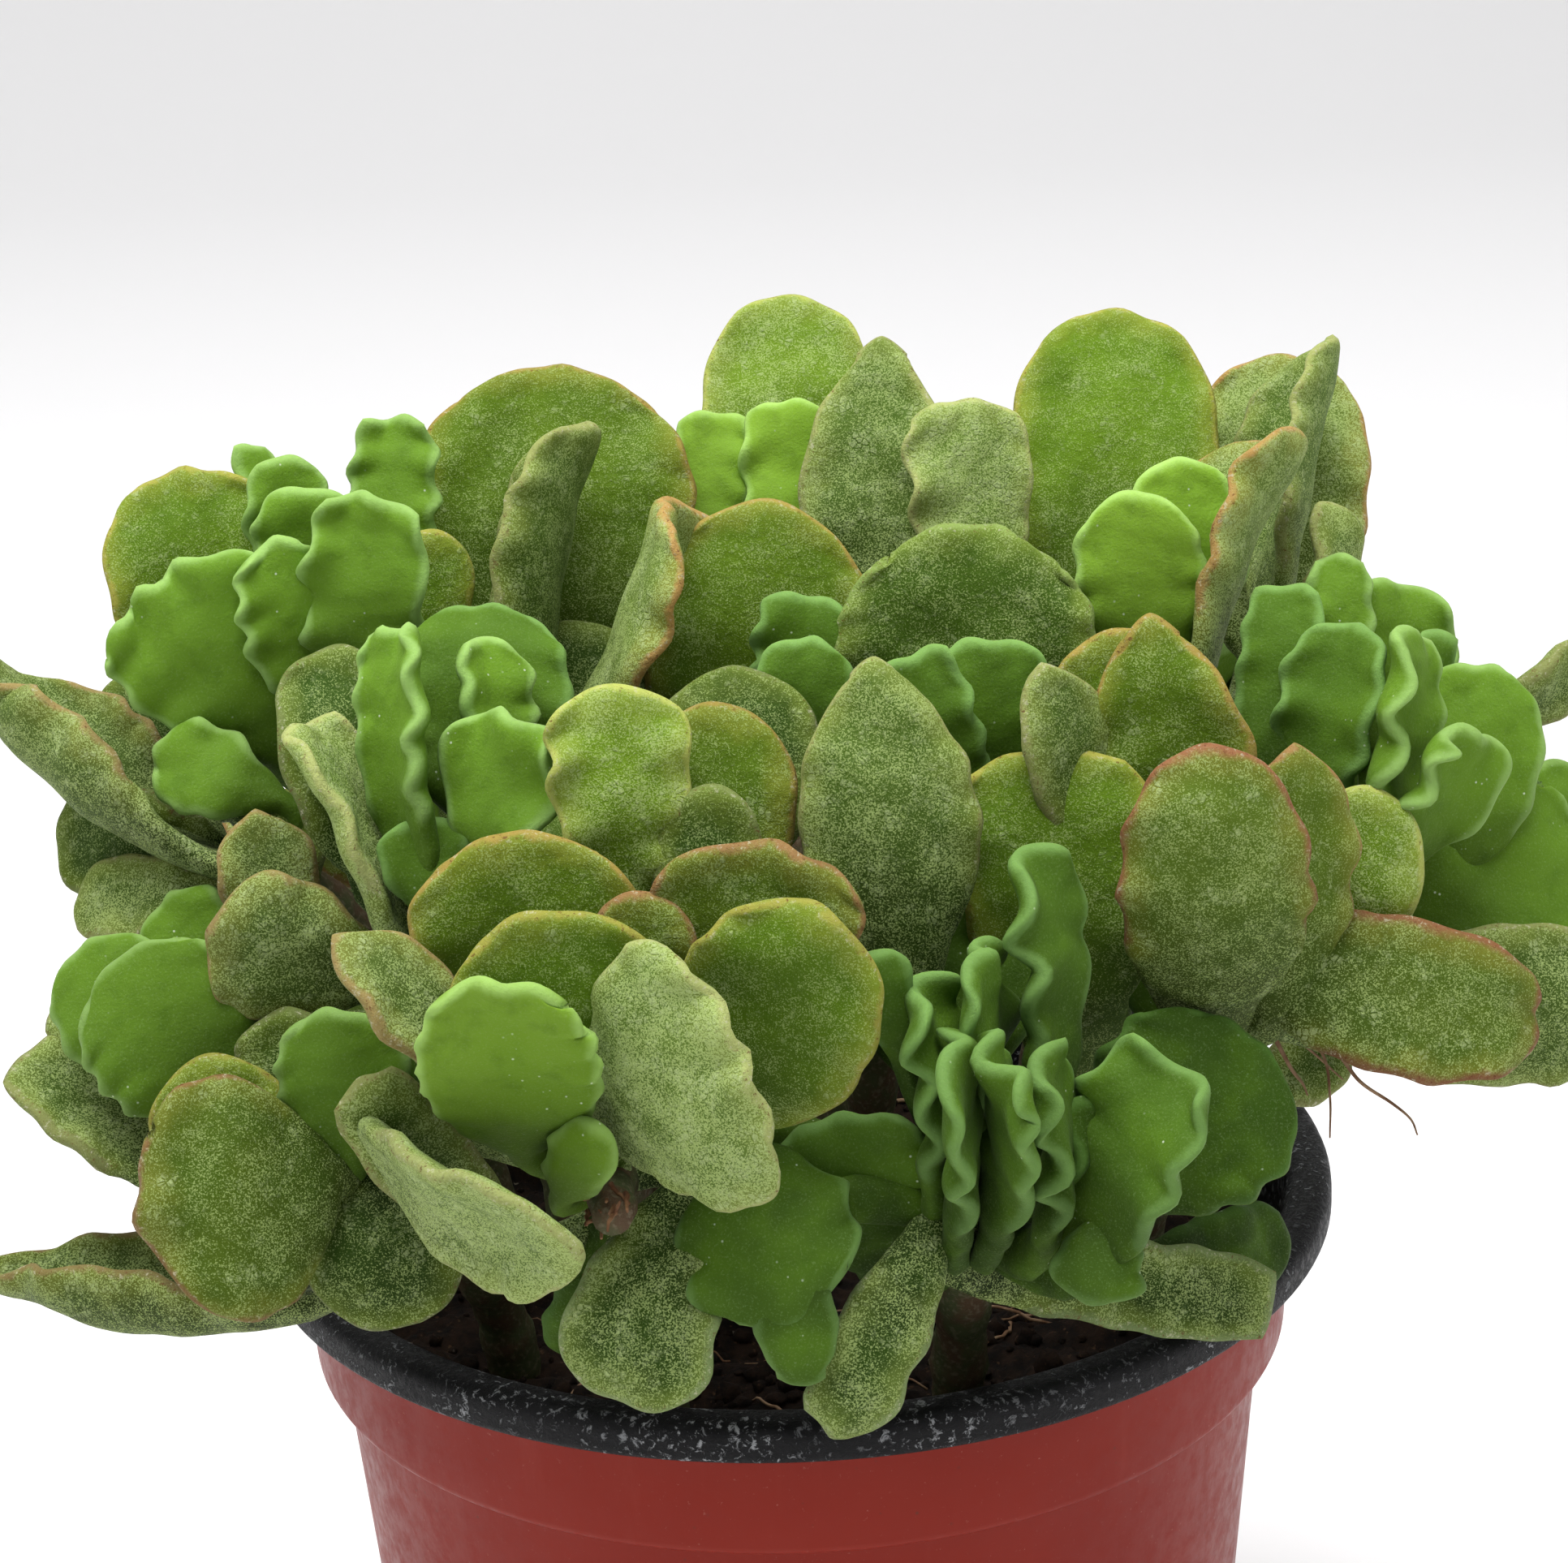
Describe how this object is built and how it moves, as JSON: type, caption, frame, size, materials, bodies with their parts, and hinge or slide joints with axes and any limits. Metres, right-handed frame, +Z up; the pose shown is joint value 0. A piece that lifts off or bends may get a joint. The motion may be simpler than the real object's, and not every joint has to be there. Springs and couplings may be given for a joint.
{
  "type": "potted crinkle-leaf plant",
  "caption": "Clump of a crinkle-leaf succulent with fleshy, wavy-edged leaves on short stems, in a round, tapered, thin-walled nursery pot filled with soil.",
  "frame": {"origin": "centre of the pot's base, on the surface the pot stands on", "axes": "+Z up along the pot's axis; the side that the picture shows faces -Y; +X is to the right of that view"},
  "size_m": [0.1587, 0.1373, 0.1719],
  "materials": {
    "pot_plastic": "thin moulded nursery pot, terracotta outside, black inside and on the rolled rim, with dust and lime marks",
    "soil": "dark brown peat with grit and pale fibres",
    "leaf": "fleshy leaves: young ones smooth and lime green, old ones speckled grey-green with yellow to rust-red margins"
  },
  "bodies": {
    "root": {"pot": "pot_plastic", "soil": "soil", "shoot_upper_left": "leaf", "shoot_left": "leaf", "shoot_lower_left": "leaf", "shoot_rosette": "leaf", "shoot_back_left": "leaf", "shoot_centre": "leaf", "shoot_centre_front": "leaf", "shoot_back_centre": "leaf", "shoot_back_right": "leaf", "shoot_right_upper": "leaf", "shoot_right": "leaf", "shoot_crest": "leaf", "shoot_rear_left": "leaf", "shoot_rear_middle": "leaf", "shoot_rear_right": "leaf"}
  },
  "joints": []
}
